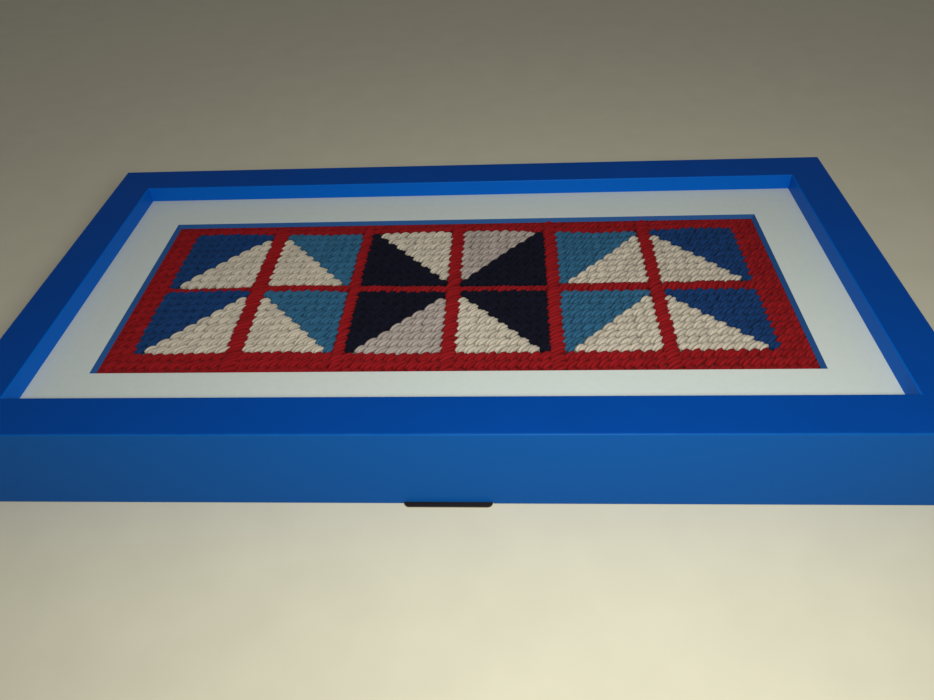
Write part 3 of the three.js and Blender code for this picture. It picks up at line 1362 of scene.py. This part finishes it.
@dataclass(frozen=True)
class Needlepoint:
    """The cloth: a stiff canvas, and a slanted wool stitch over each of its crossings.

    The cells and the lines are in order from the left. Reaches, girths and steps apart are
    shares of a stitch's own room.
    """

    cells: tuple[CellWork, ...] = (
        CellWork(-0.4 * MM, 0.5 * MM, 4.1 * MM, 3.3 * MM),
        CellWork(0.4 * MM, 0.7 * MM, 1.7 * MM, 4.5 * MM),
        CellWork(-1.6 * MM, -1.4 * MM, 2.8 * MM, 4.4 * MM),
        CellWork(-1.0 * MM, -1.5 * MM, 3.4 * MM, 4.0 * MM),
        CellWork(-0.8 * MM, -1.6 * MM, -0.8 * MM, 5.7 * MM),
        CellWork(-0.2 * MM, -0.8 * MM, 2.8 * MM, 6.0 * MM),
    )
    lines: tuple[LineWork, ...] = (
        LineWork(-1.4 * MM, 5.1 * MM),
        LineWork(-1.1 * MM, 7.5 * MM),
        LineWork(-1.6 * MM, 5.1 * MM),
        LineWork(-1.1 * MM, 6.5 * MM),
        LineWork(-1.4 * MM, 6.2 * MM),
        LineWork(-0.5 * MM, 6.3 * MM),
        LineWork(-0.1 * MM, 5.1 * MM),
    )
    chart: Chart = Chart()
    strand: Strand = Strand()
    hand: Hand = Hand()
    loft: Loft = Loft()
    canvas_finish: Canvas = Canvas()
    canvas_thickness: float = 1.0 * MM
    pitch: float = CANVAS_PITCH
    strands: int = 2
    plain_reach: float = 0.88
    plain_apart: Limits = (-0.3, 0.22)
    sash_apart: float = 0.5
    sash_reach: float = 0.8
    sash_girth: float = 1.05
    sash_plump: float = 1.15
    least_girth: float = 0.55
    crowd: float = 1.1 * MM
    sink: float = 0.1 * MM

    def canvas(self) -> bpy.types.Object:
        """Makes the canvas as a thin sheet in the place of the cloth's solid.

        Returns:
            The canvas.
        """
        low, high = (Vector(corner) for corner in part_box("needlepoint"))
        high.z = low.z + self.canvas_thickness
        sheet = box_piece("needlepoint_canvas", low, high)
        return fit(sheet.build(self.canvas_finish.material()), "wool", "needlepoint")

    def column_room(self, column: int) -> Span:
        """Finds a column's room along the cloth, between its upright lines.

        Args:
            column: The column, from the left.

        Returns:
            Its span, from the cloth's middle.
        """
        repeat = self.chart.repeat
        first = self.chart.border - 1
        middle = (self.chart.columns - 1) / 2 - first
        uprights = [
            Span((number * repeat - middle) * self.pitch + line.drift, line.width)
            for number, line in enumerate(self.lines)
        ]
        return spread(uprights, column - first, repeat, self.pitch)

    def row_room(self, column: int, row: int) -> Span:
        """Finds a stitch's room across the cloth, between its borders and its sash.

        Args:
            column: Its column, from the left.
            row: Its row, from the near side.

        Returns:
            Its span, from the cloth's middle.
        """
        repeat = self.chart.repeat
        first = self.chart.border - 1
        middle = (self.chart.rows - 1) / 2 - first
        cell = (column - first) / repeat - 0.5
        own = self.cells[max(0, min(len(self.cells) - 1, math.floor(cell + 0.5)))]
        levels = []
        for number, height in enumerate((self.pitch, own.sash_height, self.pitch)):
            creep = between([work.creeps[number] for work in self.cells], cell)
            levels.append(Span((number * repeat - middle) * self.pitch + creep, height))
        return spread(levels, row - first, repeat, self.pitch)

    def room(self, column: int, row: int) -> tuple[Span, Span]:
        """Finds the room of a stitch on the cloth, which isn't quite square.

        Args:
            column: Its column, from the left.
            row: Its row, from the near side.

        Returns:
            Its span along the cloth and its span across it, from the cloth's middle.
        """
        along, across = self.column_room(column), self.row_room(column, row)
        sway_x, sway_y = self.hand.wander(along.middle, across.middle)
        x = along.middle + self.hand.skew * across.middle + sway_x
        return Span(x, along.size), Span(across.middle + sway_y, across.size)

    def crowding(self, column: int, row: int) -> Limits:
        """Finds how far a stitch's ends reach out, where yarns meet end to end.

        An end that pokes out between two stitches of another yarn is crowded back, and one
        that faces such an end reaches over it.

        Args:
            column: The stitch's column, from the left.
            row: Its row, from the near side.

        Returns:
            How much further than plain its near left end and its far right end reach.
        """
        yarn = self.chart.yarn
        own = yarn(column, row)
        reaches = []
        for way in (-1, 1):
            ahead = yarn(column + way, row + way) is own
            beside = (yarn(column + way, row) is own, yarn(column, row + way) is own)
            if ahead or beside[0] != beside[1]:
                reaches.append(0.0)
            else:
                reaches.append(self.crowd if beside[0] else -self.crowd)
        return reaches[0], reaches[1]

    def stitch(self, column: int, row: int, ground: Vector) -> Stitch:
        """Works out one stitch.

        Args:
            column: Its column, from the left.
            row: Its row, from the near side.
            ground: The middle of the canvas's top.

        Returns:
            The stitch.
        """
        along, across = self.room(column, row)
        wide, tall = along.size, across.size
        girth = min(1.0, max(self.least_girth, min(wide, tall) / self.pitch))
        plump = self.loft.at(along.middle, across.middle)
        near = far = 0.0
        part = self.chart.part(column, row)
        if part is Part.FIELD:
            apart = (self.plain_apart[0] * wide, self.plain_apart[1] * tall)
            wide, tall = wide * self.plain_reach, tall * self.plain_reach
            near, far = self.crowding(column, row)
        else:
            girth *= self.sash_girth
            plump *= self.sash_plump * max(self.least_girth, min(1.0, tall / self.pitch))
        if part is Part.UPRIGHT:
            apart = (0.0, self.sash_apart * tall)
            tall *= self.sash_reach
        elif part is Part.LEVEL:
            apart = (self.sash_apart * wide, 0.0)
            wide *= self.sash_reach
        lean = math.atan2(tall, wide)
        shift = (far - near) / 2
        x = along.middle + shift * math.cos(lean)
        y = across.middle + shift * math.sin(lean)
        height = plump * self.strand.height / 2 - self.sink
        reach = (math.hypot(wide, tall) + near + far) / math.sqrt(2) / self.pitch
        return Stitch(ground + Vector((x, y, height)), reach, girth, plump, lean, *apart)

    def points(self, name: str, yarn: YarnColour, ground: Vector) -> bpy.types.Object:
        """Makes a point for each stitch of a yarn, which carries the stitch's traits.

        Args:
            name: The object's name.
            yarn: The yarn.
            ground: The middle of the canvas's top.

        Returns:
            The object of points.
        """
        worked = [
            self.stitch(column, row, ground)
            for row in range(self.chart.rows)
            for column in range(self.chart.columns)
            if self.chart.yarn(column, row) is yarn
        ]
        mesh = bpy.data.meshes.new(name)
        mesh.from_pydata([stitch.place for stitch in worked], [], [])
        for trait in TRAITS:
            values = [getattr(stitch, trait) for stitch in worked]
            mesh.attributes.new(trait, "FLOAT", "POINT").data.foreach_set("value", values)
        return link(bpy.data.objects.new(name, mesh))

    def stitches(self, ground: Vector) -> list[bpy.types.Object]:
        """Works every stitch of the chart, one object for each yarn.

        Args:
            ground: The middle of the canvas's top.

        Returns:
            The yarns' objects.
        """
        tree = StitchTree(self.strand, self.hand)
        pieces = []
        for number, yarn in enumerate(YarnColour):
            values = {
                "Length": self.pitch * math.sqrt(2) * self.strand.overlap,
                "Width": self.strand.width,
                "Height": self.strand.height,
                "Dive": self.strand.dive,
                "Turn Jitter": self.hand.turn_jitter,
                "Place Jitter": self.hand.place_jitter,
                "Size Jitter": self.hand.size_jitter,
                "Strands": self.strands,
                "Segments": self.strand.segments,
                "Sides": self.strand.sides,
                "Seed": self.hand.seed + self.hand.seed_step * number,
                "Yarn": yarn.wool.material(),
            }
            points = self.points(f"stitches_{yarn.label}", yarn, ground)
            pieces.append(fit(tree.work(points, values), "wool"))
        return pieces

    def build(self) -> None:
        """Makes the canvas and its stitches."""
        low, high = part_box("needlepoint")
        middle = ((low[0] + high[0]) / 2, (low[1] + high[1]) / 2)
        canvas = self.canvas()
        wool = self.stitches(Vector((*middle, low[2] + self.canvas_thickness)))


@dataclass(frozen=True)
class Backing:
    """The hidden back: a board and its bent clips, which stay as their solids are."""

    board: Hardboard = Hardboard()
    clips: SheetSteel = SheetSteel("clip_steel", (0.6, 0.6, 0.62), 0.35)

    def build(self) -> None:
        """Dresses the board and each clip."""
        wear("backing_board", self.board.material())
        steel = self.clips.material()
        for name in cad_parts:
            if name.startswith("clip_"):
                wear(name, steel)


@dataclass(frozen=True)
class HangerPlate:
    """The dark plate on the near rail's back, with its rim softened."""

    rim: float = 0.15 * MM
    rim_steps: int = 2
    weld: float = 0.001 * MM
    lacquer: SheetSteel = SheetSteel("plate_lacquer", (0.03, 0.02, 0.016), 0.4, metallic=0.4)

    def build(self) -> None:
        """Makes the plate from its solid's outline, merged and softened."""
        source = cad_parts["hanger_plate"]
        plate = link(bpy.data.objects.new("plate", source.data.copy()))
        plate.data.materials.clear()
        plate.data.materials.append(self.lacquer.material())
        weld = plate.modifiers.new("weld", "WELD")
        weld.merge_threshold = self.weld
        soft = plate.modifiers.new("rim", "BEVEL")
        soft.width = self.rim
        soft.segments = self.rim_steps
        soft.limit_method = "ANGLE"
        fit(settle(plate), "plate_steel", "hanger_plate")


@dataclass(frozen=True)
class Lamp:
    """A square soft light: where it hangs, its side in metres, its power in watts, its colour."""

    name: str
    place: tuple[float, float, float]
    size: float
    power: float
    colour: Colour

    def hang(self, aim: Vector) -> None:
        """Hangs the light.

        Args:
            aim: What it points at.
        """
        data = bpy.data.lights.new(self.name, "AREA")
        data.size = self.size
        data.energy = self.power
        data.color = self.colour
        lamp = link(bpy.data.objects.new(self.name, data))
        lamp.location = self.place
        lamp.rotation_euler = (aim - Vector(self.place)).to_track_quat("-Z", "Y").to_euler()


@dataclass(frozen=True)
class Studio:
    """The pale floor, the soft light and the viewpoint.

    The key light hangs over the eye, and the top light is wide. The room's glow fills the
    shadows.
    """

    floor_size: float = 12.0
    paper: Finish = Finish("floor_paper", (0.78, 0.71, 0.54), 0.9)
    lamps: tuple[Lamp, ...] = (
        Lamp("key", (0.085, -0.305, 0.31), 0.12, 1.25, (0.98, 1.02, 0.96)),
        Lamp("top", (0.0, 0.1, 1.6), 1.4, 1.35, (0.98, 1.02, 0.98)),
    )
    aim_height: float = 30.0 * MM
    glow: Colour = (0.95, 0.97, 1.0)
    glow_strength: float = 0.12
    image_width: int = 934
    focal_pixels: float = 722.5
    sensor: float = 36.0
    clip_start: float = 10.0 * MM
    eye: tuple[float, float, float] = (26.47 * MM, -293.05 * MM, 260.6 * MM)
    heading: float = math.radians(4.427)
    tilt: float = math.radians(47.563)
    roll: float = math.radians(-3.454)

    def floor(self) -> None:
        """Lays the floor just at the picture's back."""
        half = self.floor_size / 2
        piece = Piece("floor")
        for x, y in CORNERS:
            piece.points.append(Vector((x * half, y * half, 0.0)))
        piece.face((0, 1, 2, 3))
        piece.build(self.paper.material())

    def camera(self) -> None:
        """Sets the camera at the eye, with the lens that fits the image."""
        data = bpy.data.cameras.new("camera")
        data.sensor_width = self.sensor
        data.lens = self.focal_pixels / self.image_width * self.sensor
        data.clip_start = self.clip_start
        camera = link(bpy.data.objects.new("camera", data))
        turn = Matrix.Rotation(self.heading, 4, "Z") @ Matrix.Rotation(self.tilt, 4, "X")
        roll = Matrix.Rotation(self.roll, 4, "Z")
        camera.matrix_world = Matrix.Translation(self.eye) @ turn @ roll
        bpy.context.scene.camera = camera

    def light(self) -> None:
        """Hangs the lamps and sets the room's glow."""
        for lamp in self.lamps:
            lamp.hang(Vector((0.0, 0.0, self.aim_height)))
        world = bpy.data.worlds.new("room")
        world.use_nodes = True
        background = world.node_tree.nodes["Background"]
        background.inputs["Color"].default_value = (*self.glow, 1.0)
        background.inputs["Strength"].default_value = self.glow_strength
        bpy.context.scene.world = world
        bpy.context.scene.view_settings.view_transform = "Standard"

    def build(self) -> None:
        """Sets up the floor, the camera and the light."""
        self.floor()
        self.camera()
        self.light()


def main() -> None:
    """Builds the picture piece by piece, then the studio round it."""
    logging.basicConfig(level=logging.INFO, format="%(name)s: %(message)s")
    Moulding.from_frame().build()
    WindowMat().build()
    Needlepoint().build()
    Backing().build()
    HangerPlate().build()
    Studio().build()


if __name__ == "__main__":
    main()
